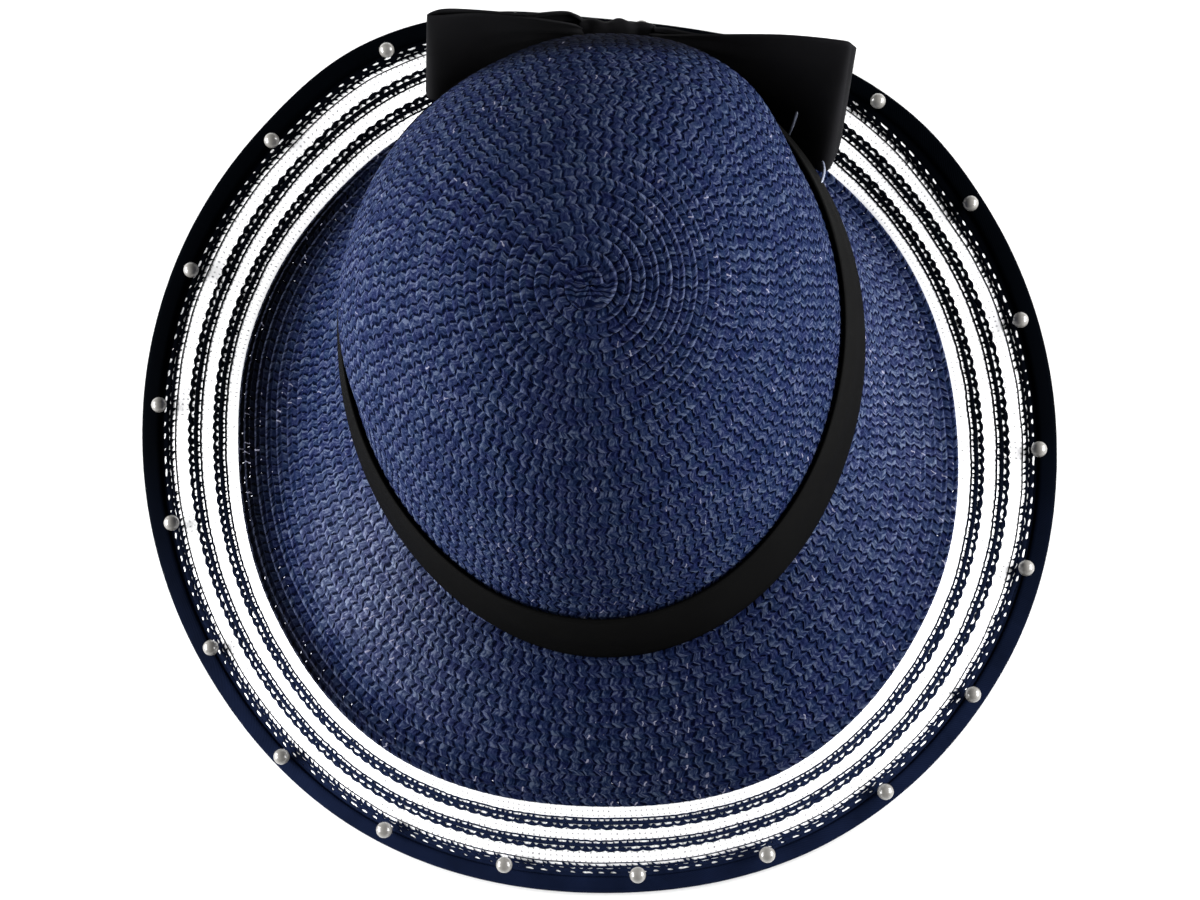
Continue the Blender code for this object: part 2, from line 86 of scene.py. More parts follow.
# Azimuth in degrees, outline share, openwork share, start slope and openwork fall in degrees
BRIM = np.array([
    (0, 0.989, 1.00, 74, 16), (30, 0.991, 1.00, 82, 8), (45, 1.002, 1.03, 84, 5),
    (60, 0.993, 1.00, 86, 12), (75, 0.964, 1.00, 86, 24), (90, 0.973, 1.00, 86, 27),
    (105, 1.030, 1.05, 84, 14), (120, 1.065, 1.12, 80, 4), (135, 1.048, 1.09, 76, 3),
    (150, 1.029, 1.04, 74, 3), (165, 1.007, 1.01, 70, 6), (180, 0.987, 1.03, 60, 13),
    (210, 0.969, 0.975, 30, 28), (240, 0.983, 0.965, 8, 42), (270, 0.989, 0.96, 2, 44),
    (300, 1.018, 0.95, 3, 46), (330, 1.012, 0.965, 34, 30)])
RIM, OPENWORK, START, FALL = 1, 2, 3, 4

# The crown's sag over its band: turn round the oval in degrees, share of CROWN_SAG
SAG = np.array([
    (0, 0.00), (30, 0.60), (45, 1.20), (60, 1.20), (75, 0.85), (90, 0.60), (105, 0.30),
    (120, 0.24), (150, 0.45), (180, 0.70), (205, 0.20), (225, 0.00), (240, 0.00), (300, 0.00)])

# Crosswise lines of each bow loop: along for the lower and upper edge, then out, then up
LEFT_LOOP = (
    (0.12, 0.10, 0.080, 0.000, 0.05, 0.64), (0.39, 0.34, 0.000, -0.120, 0.00, 0.84),
    (0.74, 0.65, -0.190, -0.130, 0.00, 0.88), (0.96, 0.84, -0.360, -0.130, 0.00, 0.86),
    (1.00, 0.93, -0.500, -0.175, 0.00, 0.84), (0.92, 0.86, -0.560, -0.180, 0.00, 0.85),
    (0.65, 0.60, -0.330, -0.150, 0.00, 0.87), (0.32, 0.32, -0.130, -0.140, 0.01, 0.80),
    (0.10, 0.08, -0.050, -0.080, 0.05, 0.56))
RIGHT_LOOP = (
    (0.12, 0.12, 0.060, -0.060, 0.05, 0.52), (0.37, 0.34, -0.060, -0.160, 0.00, 0.66),
    (0.68, 0.66, -0.250, -0.150, -0.01, 0.68), (0.91, 0.93, -0.440, -0.180, -0.02, 0.62),
    (0.945, 1.00, -0.580, -0.200, -0.02, 0.66), (0.925, 0.99, -0.850, -0.205, -0.03, 0.76),
    (0.85, 0.94, -0.980, -0.200, -0.04, 0.82), (0.61, 0.68, -0.600, -0.180, -0.04, 0.82),
    (0.34, 0.38, -0.240, -0.170, 0.00, 0.74), (0.12, 0.12, -0.060, -0.120, 0.05, 0.56))

# Stitches that hold the bow's right end: start, end and how far out the middle stands
TACKING = (
    ("tacking_thread_upper", (0.0741, 0.0960, 0.0562), (0.0703, 0.0908, 0.0454),
     (0.0002, -0.0004, 0.0012)),
    ("tacking_thread_lower", (0.0817, 0.0697, 0.0572), (0.0818, 0.0812, 0.0471),
     (0.0008, 0.0002, 0.0008)))
TACKING_RADIUS = 0.0005

# Painted light and shade round the brim: azimuth in degrees, share of the straw's lightness
PAINTED_BRIM_LIGHT = np.array([
    (0, 1.35), (60, 1.20), (120, 1.22), (165, 1.05), (185, 1.15), (215, 2.0), (240, 1.50),
    (265, 0.85), (290, 0.80), (315, 1.00), (335, 1.20)])

# The braid: its rows, the length of a stitch and the relief across a row, inner edge first
CROWN_ROWS = 33
BRIM_ROWS = 16
BRIM_ROW = 0.0041
BRIM_SPIRAL_RADIUS = 0.127
BRIM_SPIRAL_LOSS = 0.0027
CROWN_STITCH = 0.0036
BRIM_STITCH = 0.0038
SPIRAL_CENTRE = (0.049, -0.065)
SPIRAL_SAMPLES = 4000
STEP = 0.00078
ACROSS = np.linspace(0, 1, 6)[None, :]
ROW_PROFILE = ((0.0, 0.10), (0.07, 0.50), (0.40, 0.90), (0.53, 1.0), (0.60, 0.52), (0.67, 0.65),
               (0.80, 0.85), (0.92, 1.0), (1.0, 0.85))
BEND = 0.6
INNER_SLANT = -0.26
OUTER_SLANT = 0.36
RELIEF = 0.0005
FLAT_RELIEF = 0.28
CLOSE_LAP = 0.00012
STANDING_LAP = 0.0004
TURNED_DOWN = 0.0007
BELOW_SOLID = 0.0008
ABOVE_SOLID = 0.0005

# Sheets round the openwork: steps round it, its middle line's radius and the tape's puckers
SHEET_STEPS = 900
MIDDLE_RADIUS = 0.145
PUCKERS = 0.00012
UPPER_SIDE = 0.0016

# Lace strips: outer edge's distance in, width, seed and the pull at the right in millimetres
LACE = (("lace_inner", 0.0259, 0.0051, 1, 0.7), ("lace_outer", 0.0168, 0.0051, 2, 1.6),
        ("lace_edge", 0.0070, 0.0058, 3, 2.2))
LACE_STEPS = 4100
THIN_BARS = 400
BROAD_BARS = 300
DROPS = 206
SCALLOP_TURN = 106

# The beads' size in the photo, as a share of their solids
BEAD_SHARE = 0.94

# The photo's long lens high over the front, tilted forward and to the right
CAMERA_FORWARD = math.radians(16.5)
CAMERA_RIGHT = math.radians(5.5)
CAMERA_TARGET = Vector((0.0020, -0.0042, 0.0))
CAMERA_DISTANCE = 1.3
CAMERA_LENS = 113.2
CAMERA_SENSOR = 36.0

# Softboxes: place and power
SOFTBOXES = (("left_softbox", (-1.1, -0.04, 0.36), 47), ("right_softbox", (1.1, 0.05, 0.37), 44))
SOFTBOX_SIZE = (1.2, 0.6)
SOFTBOX_TARGET = Vector((0, 0, 0.08))
SURROUND = 0.18
FLOOR_HALF = 4.0
FLOOR_DROP = 0.0002


# Camera, light and floor

def set_camera():
    """The camera, level from left to right, with the target in its middle."""
    away = Vector((math.tan(CAMERA_RIGHT), -math.tan(CAMERA_FORWARD), 1)).normalized()
    up = (Vector((0, 1, 0)) - away * away.y).normalized()
    data = bpy.data.cameras.new("camera")
    data.lens = CAMERA_LENS
    data.sensor_width = CAMERA_SENSOR
    data.dof.use_dof = False
    camera = bpy.data.objects.new("camera", data)
    turn = Matrix((up.cross(away), up, away)).transposed().to_4x4()
    camera.matrix_world = Matrix.Translation(CAMERA_TARGET + away * CAMERA_DISTANCE) @ turn
    bpy.context.scene.collection.objects.link(camera)
    bpy.context.scene.camera = camera


def build_light():
    """Two softboxes standing low at the sides, and an even weak surround."""
    world = bpy.data.worlds.new("studio")
    world.use_nodes = True
    sky = world.node_tree.nodes["Background"]
    sky.inputs[0].default_value = (1, 1, 1, 1)
    sky.inputs[1].default_value = SURROUND
    bpy.context.scene.world = world
    bpy.context.scene.view_settings.view_transform = "Standard"
    for name, place, power in SOFTBOXES:
        data = bpy.data.lights.new(name, "AREA")
        data.shape = "RECTANGLE"
        data.size, data.size_y = SOFTBOX_SIZE
        data.energy = power
        light = bpy.data.objects.new(name, data)
        light.location = place
        aim = SOFTBOX_TARGET - Vector(place)
        light.rotation_euler = aim.to_track_quat("-Z", "Y").to_euler()
        bpy.context.scene.collection.objects.link(light)


def build_stage():
    """White paper under the hat, a hair below its rest."""
    half = FLOOR_HALF
    mesh = bpy.data.meshes.new("floor")
    mesh.from_pydata([(-half, -half, 0), (half, -half, 0), (half, half, 0), (-half, half, 0)],
                     [], [(0, 1, 2, 3)])
    mesh.materials.append(studio_paper())
    floor = bpy.data.objects.new("floor", mesh)
    floor.location.z = -FLOOR_DROP
    bpy.context.scene.collection.objects.link(floor)


# Materials

def linear(hex_colour):
    """An sRGB hex colour as linear red, green, blue and alpha."""
    shares = [int(hex_colour[i:i + 2], 16) / 255 for i in (1, 3, 5)]
    return [c / 12.92 if c <= 0.04045 else ((c + 0.055) / 1.055) ** 2.4 for c in shares] + [1.0]


def add(tree, kind, inputs=(), stops=(), out=0, **settings):
    """Add one node and hand over one of its outputs, or all of them where out is None.

    inputs are its sockets' values or links, in order or by name, and settings its properties.
    stops are a colour ramp's positions with a grey share or a colour.
    """
    made = tree.nodes.new("ShaderNode" + kind)
    for key, value in settings.items():
        setattr(made, key, value)
    for key, value in inputs.items() if isinstance(inputs, dict) else enumerate(inputs):
        if isinstance(value, bpy.types.NodeSocket):
            tree.links.new(value, made.inputs[key])
        else:
            made.inputs[key].default_value = value
    for place, colour in stops:
        elements = made.color_ramp.elements
        stop = elements.new(place) if 0 < place < 1 else elements[-int(place)]
        stop.color = linear(colour) if isinstance(colour, str) else (colour, colour, colour, 1)
    return made.outputs if out is None else made.outputs[out]


def new_material(name, **constants):
    """A material with a Principled shader whose named sockets hold the constants."""
    material = bpy.data.materials.new(name)
    material.use_nodes = True
    shader = material.node_tree.nodes["Principled BSDF"]
    for key, value in constants.items():
        shader.inputs[key.replace("_", " ")].default_value = value
    return material, material.node_tree


def wire(material, **sockets):
    """Link the sockets to the inputs of the material's shader that they are named for."""
    tree = material.node_tree
    for key, socket in sockets.items():
        tree.links.new(socket, tree.nodes["Principled BSDF"].inputs[key.replace("_", " ")])
    return material


def paper_straw():
    """Twisted paper straw, plaited and dyed navy: matt, crumpled, with a slight gloss.

    The UV map counts stitches along the braid and shares of its width, inner edge first. The
    gaps between stitches bend at six tenths of the width. Attributes of the mesh say how high
    a row's edge stands over the next row, how much painted light and shade the straw takes,
    where pinholes show and where the spiral's first turn lies in wrinkles. The stitches are
    painted darker in their gaps and hollows, and pale marks on folds and strands are painted
    highlights.
    """
    material, tree = new_material("navy_paper_straw", IOR=1.45, Specular_IOR_Level=0.015)
    place = add(tree, "TexCoord", out="Object")
    lap, tone, pin, knot = [add(tree, "Attribute", out="Fac", attribute_name=name)
                            for name in ("lap", "tone", "pin", "knot")]
    # the paper is crumpled at two scales, about 4 mm and 1.4 mm
    plane = add(tree, "UVMap", uv_map="braid")
    for scale, sway_along, sway_across in ((230.0, 0.55, -0.18), (720.0, 0.34, 0.16)):
        crumple = add(tree, "TexNoise", {"Vector": place, "Scale": scale, "Detail": 1.0},
                      out="Color")
        crumple = add(tree, "VectorMath", (crumple, (0.5, 0.5, 0.5)), operation="SUBTRACT")
        plane = add(tree, "VectorMath", (crumple, (sway_along, sway_across, 0.0), plane),
                    operation="MULTIPLY_ADD")
    along, across, _ = add(tree, "SeparateXYZ", (plane,), out=None)
    inner = add(tree, "MapRange", (across, 0.0, BEND, 0.0, -INNER_SLANT))
    outer = add(tree, "MapRange", (across, BEND, 1.0, 0.0, -OUTER_SLANT))
    count = add(tree, "Math", (along, inner), operation="ADD")
    count = add(tree, "Math", (count, outer), operation="ADD")
    phase = add(tree, "Math", (count,), operation="FRACT")
    # a row is two files of stitches, and each stitch has three chances of its own
    second_file = add(tree, "Math", (across, BEND), operation="GREATER_THAN")
    stitch = add(tree, "Math", (count,), operation="FLOOR")
    stitch = add(tree, "Math", (second_file, 0.37, stitch), operation="MULTIPLY_ADD")
    chance = add(tree, "TexWhiteNoise", {"W": stitch}, out="Color", noise_dimensions="1D")
    chance = add(tree, "SeparateColor", (chance,), out=None)
    # painted shading on each stitch: dark in its gap, lit just after it, dimmer before the next
    lobe = add(tree, "ValToRGB", (phase,), (
        (0.0, 0.0), (0.11, 0.15), (0.20, 1.0), (0.34, 0.78), (0.60, 0.55), (0.80, 0.66),
        (1.0, 0.0)))
    # a gap is a short dark stroke in each file, and closes at the bend and the row's edges
    closing = add(tree, "ValToRGB", (across,), (
        (0.0, 0.80), (0.14, 0.95), (0.30, 1.0), (0.46, 0.94), (0.60, 0.76), (0.74, 0.97),
        (0.86, 1.0), (1.0, 0.80)))
    gap = add(tree, "Math", (phase, 0.5), operation="SUBTRACT")
    gap = add(tree, "Math", (gap,), operation="ABSOLUTE")
    gap = add(tree, "Math", (gap, closing), operation="MULTIPLY")
    wide = add(tree, "MapRange", (chance[1], 0.0, 1.0, 0.22, 0.42))
    closed = add(tree, "MapRange", (gap, wide, 0.49, 1.0, 0.0), interpolation_type="SMOOTHSTEP")
    relief = add(tree, "ValToRGB", (across,), ROW_PROFILE)
    level = add(tree, "MapRange", (lap, 0.0, 1.0, 0.72, 0.0))
    relief = add(tree, "Mix", {"Factor": level, 2: relief, 3: 1.0})
    height = add(tree, "Math", (relief, closed), operation="MULTIPLY")
    # where the spiral starts the paper lies in wrinkles, about 1.8 mm apart
    creases = add(tree, "TexWave", {"Vector": place, "Scale": 150.0, "Distortion": 11.0,
                                    "Detail": 1.0, "Detail Scale": 1.1},
                  out=1, bands_direction="Y")
    creases = add(tree, "MapRange", (creases, 0.1, 0.4, 0.1, 0.75))
    height = add(tree, "Mix", {"Factor": knot, 2: height, 3: creases})
    # where the gaps close, at the bend and the row's edges, their painted shade is lifted
    gap_shade_lifted = add(tree, "MapRange", (closing, 0.78, 0.96, 0.62, 0.0))
    lobe = add(tree, "Math", (lobe, gap_shade_lifted), operation="MAXIMUM")
    lobe = add(tree, "Mix", {"Factor": knot, 2: lobe, 3: 0.8})
    # strands of twisted paper lie along each stitch, and fibres on them about 0.3 mm apart
    strand = add(tree, "CombineXYZ", (phase, across, stitch))
    strand = add(tree, "VectorMath", (strand, (5.0, 2.2, 7.0)), operation="MULTIPLY")
    grain = add(tree, "TexNoise", {"Vector": strand, "Scale": 1.0, "Detail": 3.0})
    light = add(tree, "MapRange", (grain, 0.36, 0.64, 0.30, 1.45))
    fuller = add(tree, "MapRange", (chance[2], 0.0, 1.0, 0.78, 1.25))
    # the lightness takes painted shade from the lobes and the relief, dark in gaps and hollows
    for share in (lobe, height, fuller):
        light = add(tree, "Math", (light, share), operation="MULTIPLY")
    colour = add(tree, "ValToRGB", (light,), (
        (0.0, "#010415"), (0.12, "#040a23"), (0.38, "#101935"), (0.70, "#212942"),
        (1.0, "#3c4459")))
    # each stitch's hue differs a little at random; the painted light and shade set its value and,
    # where it is lit, wash out its colour
    hue = add(tree, "MapRange", (chance[0], 0.0, 1.0, 0.493, 0.507))
    painted_light_wash = add(tree, "MapRange", (tone, 0.9, 1.9, 1.0, 0.78))
    colour = add(tree, "HueSaturation", {"Hue": hue, "Saturation": painted_light_wash, "Value": tone,
                                         "Color": colour})
    # painted highlights on the folds along a standing row edge and at the bend
    folds = add(tree, "ValToRGB", (across,), (
        (0.0, 0.0), (0.47, 0.0), (0.54, 0.05), (0.60, 0.0), (0.84, 0.0), (0.93, 0.55),
        (1.0, 0.2)))
    torn = add(tree, "MapRange", (grain, 0.38, 0.58, 0.25, 0.9))
    dim = add(tree, "MapRange", (tone, 0.0, 1.0, 0.42, 1.0))
    for share in (lap, torn, dim):
        folds = add(tree, "Math", (folds, share), operation="MULTIPLY")
    # in places a short pale dash, a painted glint on the outer file's strands
    rare = add(tree, "TexNoise", {"Vector": place, "Scale": 22.0, "Detail": 2.0})
    rare = add(tree, "MapRange", (rare, 0.54, 0.70, 0.988, 0.66))
    lucky = add(tree, "Math", (chance[0], rare), operation="GREATER_THAN")
    painted_glint = add(tree, "Math", (across, 0.44, along), operation="MULTIPLY_ADD")
    painted_glint = add(tree, "Math", (painted_glint, 0.19), operation="SUBTRACT")
    painted_glint = add(tree, "Math", (painted_glint,), operation="FRACT")
    painted_glint = add(tree, "Math", (painted_glint, 0.5, 0.055), operation="COMPARE")
    band = add(tree, "Math", (across, 0.74, 0.20), operation="COMPARE")
    faint = add(tree, "MapRange", (chance[2], 0.0, 1.0, 0.35, 0.9))
    for share in (lucky, band, faint):
        painted_glint = add(tree, "Math", (painted_glint, share), operation="MULTIPLY")
    # a few open pinholes near the brim's edge show the white below
    hole = add(tree, "Math", (phase, 0.06), operation="LESS_THAN")
    side = add(tree, "Math", (across, 0.62, 0.07), operation="COMPARE")
    some = add(tree, "Math", (chance[1], pin), operation="LESS_THAN")
    for share in (side, some):
        hole = add(tree, "Math", (hole, share), operation="MULTIPLY")
    # paint the highlights on the folds and the glints, and show the white net in the pinholes
    for share, pale in ((folds, "#4c5269"), (painted_glint, "#7c7c8c"), (hole, "#c8c8d0")):
        colour = add(tree, "Mix", {"Factor": share, 6: colour, 7: linear(pale)}, out=2,
                     data_type="RGBA")
    sheen = add(tree, "MapRange", (grain, 0.3, 0.7, 0.85, 1.0))
    fibres = add(tree, "Bump", {"Height": grain, "Strength": 0.6, "Distance": 0.0003})
    bump = add(tree, "Bump", {"Height": height, "Strength": 1.0, "Distance": 0.0005,
                              "Normal": fibres})
    return wire(material, Base_Color=colour, Roughness=sheen, Normal=bump)


def net_cloth():
    """White polyester net, two layers: so close that it reads as white cloth with fine ticks.

    The mesh is drawn 1.9 mm apart, as coarse as it needs to show.
    """
    material, tree = new_material("white_polyester_net", Roughness=0.75, IOR=1.46)
    plane = add(tree, "UVMap", uv_map="cloth")
    unrest = add(tree, "TexNoise", {"Vector": plane, "Scale": 0.6, "Detail": 1.0}, out=None)
    plane = add(tree, "VectorMath", (unrest["Color"], (1.1, 1.1, 0.0), plane),
                operation="MULTIPLY_ADD")
    waves = []
    for way, sharp in zip(add(tree, "SeparateXYZ", (plane,), out=None), (9.0, 4.0)):
        wave = add(tree, "Math", (way, math.pi / 1.9), operation="MULTIPLY")
        wave = add(tree, "Math", (wave,), operation="COSINE")
        wave = add(tree, "Math", (wave,), operation="ABSOLUTE")
        waves.append(add(tree, "Math", (wave, sharp), operation="POWER"))
    some = add(tree, "MapRange", (unrest[0], 0.35, 0.6, 0.45, 1.0))
    tick = add(tree, "Math", (waves[0], waves[1]), operation="MULTIPLY")
    tick = add(tree, "Math", (tick, some), operation="MULTIPLY")
    colour = add(tree, "Mix", {"Factor": tick, 6: linear("#fbfbfc"), 7: linear("#36383e")},
                 out=2, data_type="RGBA")
    bump = add(tree, "Bump", {"Height": tick, "Strength": 0.3, "Distance": 0.0002})
    return wire(material, Base_Color=colour, Normal=bump)


def cotton_lace():
    """Mercerised cotton thread, navy, crocheted: nearly black, with a fuzzy surface.

    The attribute says how far round to the front the thread lies: there painted light makes it
    navy, and at the sides painted shade leaves it nearly black.
    """
    material, tree = new_material("navy_cotton_lace", Roughness=0.85, Specular_IOR_Level=0.01)
    place = add(tree, "TexCoord", out="Object")
    front = add(tree, "Attribute", out="Fac", attribute_name="front")
    fuzz = add(tree, "TexNoise", {"Vector": place, "Scale": 2600.0, "Detail": 2.0})
    navy = add(tree, "MapRange", (fuzz, 0.3, 0.7, 0.35, 1.0))
    navy = add(tree, "Math", (navy, front), operation="MULTIPLY")
    colour = add(tree, "Mix", {"Factor": navy, 6: linear("#010205"), 7: linear("#161f38")},
                 out=2, data_type="RGBA")
    bump = add(tree, "Bump", {"Height": fuzz, "Strength": 0.8, "Distance": 0.0002})
    return wire(material, Base_Color=colour, Normal=bump)


def twill_tape():
    """Cotton twill tape, dark navy: fine slanted ribs, drawn 0.9 mm apart so that they show.

    The attribute says how far round to the front the tape lies: there painted light makes it
    navy, and at the sides painted shade leaves it nearly black.
    """
    material, tree = new_material("navy_cotton_tape", Roughness=0.8, Specular_IOR_Level=0.01)
    plane = add(tree, "UVMap", uv_map="cloth")
    along, across, _ = add(tree, "SeparateXYZ", (plane,), out=None)
    rib = add(tree, "Math", (along, across), operation="ADD")
    rib = add(tree, "Math", (rib, TAU / 0.9), operation="MULTIPLY")
    rib = add(tree, "Math", (rib,), operation="SINE")
    place = add(tree, "TexCoord", out="Object")
    front = add(tree, "Attribute", out="Fac", attribute_name="front")
    cloud = add(tree, "TexNoise", {"Vector": place, "Scale": 70.0, "Detail": 3.0})
    navy = add(tree, "MapRange", (cloud, 0.3, 0.7, 0.6, 1.0))
    for share in (add(tree, "MapRange", (rib, -1.0, 1.0, 0.82, 1.0)), front):
        navy = add(tree, "Math", (navy, share), operation="MULTIPLY")
    colour = add(tree, "Mix", {"Factor": navy, 6: linear("#000103"), 7: linear("#0f172d")},
                 out=2, data_type="RGBA")
    bump = add(tree, "Bump", {"Height": rib, "Strength": 0.35, "Distance": 0.00012})
    return wire(material, Base_Color=colour, Normal=bump)


def woven_ribbon(name, deep, pale):
    """Black polyester crepe ribbon: matt, with a close plain weave and a faint soft sheen."""
    material, tree = new_material(name, Roughness=0.7, Specular_IOR_Level=0.02)
    plane = add(tree, "UVMap", uv_map="cloth")
    waves = []
    for way in add(tree, "SeparateXYZ", (plane,), out=None)[:2]:
        wave = add(tree, "Math", (way, TAU / 0.5), operation="MULTIPLY")
        waves.append(add(tree, "Math", (wave,), operation="SINE"))
    weave = add(tree, "Math", (waves[0], waves[1]), operation="MULTIPLY")
    place = add(tree, "TexCoord", out="Object")
    cloud = add(tree, "TexNoise", {"Vector": place, "Scale": 45.0, "Detail": 4.0})
    colour = add(tree, "Mix", {"Factor": cloud, 6: linear(deep), 7: linear(pale)},
                 out=2, data_type="RGBA")
    threads = add(tree, "Bump", {"Height": weave, "Strength": 0.3, "Distance": 0.00008})
    bump = add(tree, "Bump", {"Height": cloud, "Strength": 0.25, "Distance": 0.0006,
                              "Normal": threads})
    return wire(material, Base_Color=colour, Normal=bump)


def nacre():
    """Imitation pearl: glass or plastic bead under a pearly lacquer, grey-white, glossy."""
    material, tree = new_material("pearl_lacquer", Roughness=0.35, IOR=1.5, Coat_Weight=0.8,
                                  Coat_Roughness=0.08, Coat_IOR=1.5)
    place = add(tree, "TexCoord", out="Object")
    cloud = add(tree, "TexNoise", {"Vector": place, "Scale": 420.0, "Detail": 2.0})
    colour = add(tree, "Mix", {"Factor": cloud, 6: linear("#666461"), 7: linear("#7a7874")},
                 out=2, data_type="RGBA")
    bump = add(tree, "Bump", {"Height": cloud, "Strength": 0.1, "Distance": 0.0001})
    return wire(material, Base_Color=colour, Normal=bump)


def clear_thread():
    """Clear nylon sewing thread, doubled: smooth, milky, a little glossy."""
    material, tree = new_material("clear_nylon_thread", Roughness=0.35, IOR=1.53)
    plane = add(tree, "UVMap", uv_map="cloth")
    cloud = add(tree, "TexNoise", {"Vector": plane, "Scale": 1.4, "Detail": 1.0})
    return wire(material, Base_Color=add(
        tree, "Mix", {"Factor": cloud, 6: linear("#50566a"), 7: linear("#858b9c")},
        out=2, data_type="RGBA"))


def studio_paper():
    """Seamless white paper, matt."""
    material, tree = new_material("white_seamless_paper", Roughness=0.9)
    place = add(tree, "TexCoord", out="Object")
    grain = add(tree, "TexNoise", {"Vector": place, "Scale": 900.0, "Detail": 1.0})
    return wire(material, Base_Color=add(
        tree, "Mix", {"Factor": grain, 6: linear("#f6f6f6"), 7: linear("#fafafa")},
        out=2, data_type="RGBA"))


# Meshes

def quad_piece(name, points, quads, material):
    """A new object of smooth quads between the points."""
    mesh = bpy.data.meshes.new(name)
    mesh.vertices.add(len(points))
    mesh.vertices.foreach_set("co", points.astype(np.float32).ravel())
    mesh.loops.add(quads.size)
    mesh.loops.foreach_set("vertex_index", quads.astype(np.int32).ravel())
    mesh.polygons.add(len(quads))
    mesh.polygons.foreach_set("loop_start", np.arange(0, quads.size, 4, dtype=np.int32))
    mesh.update(calc_edges=True)
    mesh.shade_smooth()
    mesh.materials.append(material)
    piece = bpy.data.objects.new(name, mesh)
    bpy.context.scene.collection.objects.link(piece)
    return piece


def mark(piece, name, values):
    """Give each of the piece's points a named number."""
    data = piece.data.attributes.new(name, "FLOAT", "POINT").data
    data.foreach_set("value", np.asarray(values, np.float32).ravel())


def surface(name, points, uv, material, layer="cloth", marks=None, ring=False, tube=False,
            keep=None, flip=False):
    """A piece of quads over a grid of points, with shape (rows, columns, 3).

    ring joins the last row to the first and tube the last column to the first. uv is a pair of
    tables with one more row or column than points where they join. marks are named tables over
    the grid, and keep chooses the quads.
    """
    rows, columns = points.shape[:2]
    uv = np.stack(np.broadcast_arrays(*uv), -1)
    i = np.arange(rows if ring else rows - 1)[:, None]
    k = np.arange(columns if tube else columns - 1)[None, :]
    corners = [(i, k), (i + 1, k), (i + 1, k + 1), (i, k + 1)]
    if flip:
        corners.reverse()
    quads = np.stack([(r % rows) * columns + c % columns for r, c in corners], -1).reshape(-1, 4)
    places = np.stack([uv[r, c] for r, c in corners], -2).reshape(-1, 4, 2)
    if keep is not None:
        quads, places = quads[keep.ravel()], places[keep.ravel()]
    used, index = np.unique(quads, return_inverse=True)
    piece = quad_piece(name, points.reshape(-1, 3)[used], index.reshape(-1, 4), material)
    piece.data.uv_layers.new(name=layer).data.foreach_set(
        "uv", places.astype(np.float32).ravel())
    for key, table in (marks or {}).items():
        mark(piece, key, np.broadcast_to(table, (rows, columns)).ravel()[used])
    return piece


def thicken(piece, thickness, offset):
    wall = piece.modifiers.new("wall", "SOLIDIFY")
    wall.thickness, wall.offset = thickness, offset


def dress(piece, slot, *nodes):
    """Make the piece ride on the hat and stand for the nodes. The slot is not used."""
    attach(piece, "root")
    if nodes:
        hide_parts(*nodes)
    return piece


# Curves

def ease(share):
    """Smooth step from 0 to 1."""
    share = np.clip(share, 0, 1)
    return share * share * (3 - 2 * share)


def bell(angle, middle, width):
    """Share that is 1 at the middle azimuth and dies away over the width, all in degrees."""
    return np.exp(-((angle - middle) / width) ** 2)


def wobble(angle, seed, low, high, count=9):
    """Sum of a few sines round the hat with whole numbers of waves, about -1 to 1."""
    rng = np.random.default_rng(seed)
    waves = rng.integers(low, high, count)
    phases = rng.uniform(0, TAU, count)
    return sum(np.sin(angle * w + p) for w, p in zip(waves, phases)) / math.sqrt(count)


def bumps(azimuth, count, seed, low, high, soft):
    """Rounded bars round the hat, 0 to 1, count of them, each of its own width and place.

    low and high bound a bar's share of its pitch, and soft is the share over which it rises.
    """
    rng = np.random.default_rng(seed)
    place = azimuth / TAU * count
    cell = np.floor(place).astype(int) % count
    width = rng.uniform(low, high, count)[cell]
    shift = (rng.uniform(-0.45, 0.45, count) * (1 - rng.uniform(low, high, count)))[cell]
    reach = rng.uniform(0.75, 1.0, count)[cell]
    off = np.abs(place % 1 - 0.5 - shift) - width / 2
    return reach * np.clip(0.5 - off / soft, 0, 1) ** 1.5


def cubic(t, value, slope, next_value, next_slope):
    """Cubic curve between two values with their slopes, t from 0 to 1."""
    return (value * (1 + 2 * t) * (1 - t) ** 2 + slope * t * (1 - t) ** 2
            + next_value * t * t * (3 - 2 * t) - next_slope * t * t * (1 - t))


def smooth_rows(rows, steps):
    """Cubic curve through the rows, whose slopes are those between a row's neighbours."""
    slopes = np.gradient(rows, axis=0)
    t = np.linspace(0, 1, steps, endpoint=False)[None, :, None]
    spans = cubic(t, rows[:-1, None], slopes[:-1, None], rows[1:, None], slopes[1:, None])
    return np.concatenate([spans.reshape(-1, rows.shape[1]), rows[-1:]])


def around(column, azimuth, table=BRIM):
    """Smooth closed curve through one column of a table, at azimuths in radians."""
    knots = np.radians(table[:, 0])
    values = table[:, column]
    knots = np.concatenate([knots[-2:] - TAU, knots, knots[:3] + TAU])
    values = np.concatenate([values[-2:], values, values[:3]])
    slopes = np.gradient(values, knots)
    turn = np.asarray(azimuth) % TAU
    cell = np.searchsorted(knots, turn, side="right") - 1
    width = knots[cell + 1] - knots[cell]
    return cubic((turn - knots[cell]) / width, values[cell], slopes[cell] * width,
                 values[cell + 1], slopes[cell + 1] * width)


def front_share(azimuth):
    """How far round towards the front an azimuth lies, 0 at the sides and back to 1."""
    return np.clip(-1.15 * np.sin(azimuth), 0, 1) ** 1.3


def walked_length(steps):
    """Length of the way after each of the steps, from 0."""
    return np.concatenate([[0], np.cumsum(steps)])


# Forms

def crown_share(level):
    """The crown's width at a share of its height: a rounded shoulder's power law."""
    return (1 - CROWN_TAPER * level) * (1 - level ** SHOULDER_POWER) ** (1 / TIP_POWER)


def sag(turn, level):
    """How far the crown hangs out at a turn round its oval and a share of its height."""
    rise = ease((level - BAND_HEIGHT / CROWN_HEIGHT) / SAG_RISE)
    return CROWN_SAG * around(1, turn, SAG) * rise * (1 - ease((level - SAG_TOP) / (1 - SAG_TOP)))


